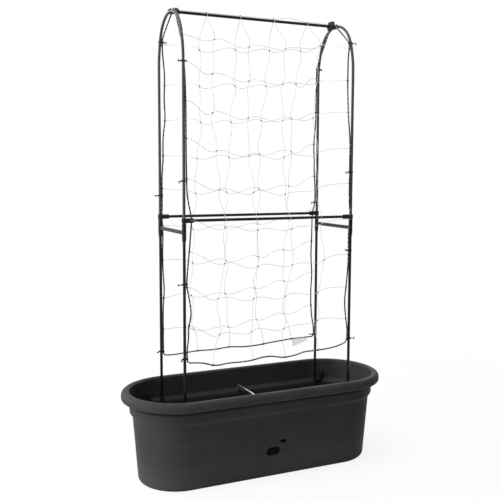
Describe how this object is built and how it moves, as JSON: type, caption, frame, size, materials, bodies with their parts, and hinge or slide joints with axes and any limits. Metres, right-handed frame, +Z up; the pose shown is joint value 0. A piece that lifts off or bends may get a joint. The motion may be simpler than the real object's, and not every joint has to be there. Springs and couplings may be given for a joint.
{
  "type": "vertical vegetable planter",
  "caption": "Oblong planting trough with a rolled rim and a lift-out arched tube trellis, its climbing net draped over a top rail and tied along the posts.",
  "frame": {"origin": "on the floor under the middle of the trough", "axes": "+X along the trough to the right of the front view, +Y from the front wall with the overflow openings to the back, +Z up"},
  "size_m": [0.7998, 0.316, 1.2968],
  "materials": {
    "trough_plastic": "anthracite, fine matte moulded skin",
    "coated_tube": "black plastic coating, satin",
    "fitting_plastic": "black moulded plastic",
    "tie_plastic": "black nylon strap",
    "galvanised_steel": "dull zinc",
    "net_thread": "thin pale green thread, slightly shiny",
    "border_cord": "twisted dark green cord",
    "tag_film": "blank white film"
  },
  "bodies": {
    "trough": {"trough": "trough_plastic", "cross_tie": "galvanised_steel", "post_holder_front_left": "fitting_plastic", "post_holder_front_right": "fitting_plastic", "post_holder_back_left": "fitting_plastic", "post_holder_back_right": "fitting_plastic"},
    "trellis": {"apex_knots": "border_cord", "arch_left": "coated_tube", "arch_right": "coated_tube", "blank_tag": "tag_film", "border_cord_back": "border_cord", "border_cord_front": "border_cord", "lower_post_back_left": "coated_tube", "lower_post_back_right": "coated_tube", "lower_post_front_left": "coated_tube", "lower_post_front_right": "coated_tube", "mid_rail_back": "coated_tube", "mid_rail_front": "coated_tube", "net_back": "net_thread", "net_front": "net_thread", "net_slope_back": "net_thread", "net_edge_threads": "net_thread", "net_slope_front": "net_thread", "rail_clip_back_left": "fitting_plastic", "rail_clip_back_right": "fitting_plastic", "rail_clip_front_left": "fitting_plastic", "rail_clip_front_right": "fitting_plastic", "side_bracket_left": "fitting_plastic", "side_bracket_right": "fitting_plastic", "ties_back_left": "tie_plastic", "ties_back_right": "tie_plastic", "ties_front_left": "tie_plastic", "ties_front_right": "tie_plastic", "top_clip_left": "fitting_plastic", "top_clip_right": "fitting_plastic", "top_rail": "coated_tube"}
  },
  "joints": [
    {"name": "trellis_lift", "type": "slide", "parent": "trough", "child": "trellis", "axis": [0, 0, 1], "range_m": [0, 0.26]}
  ]
}
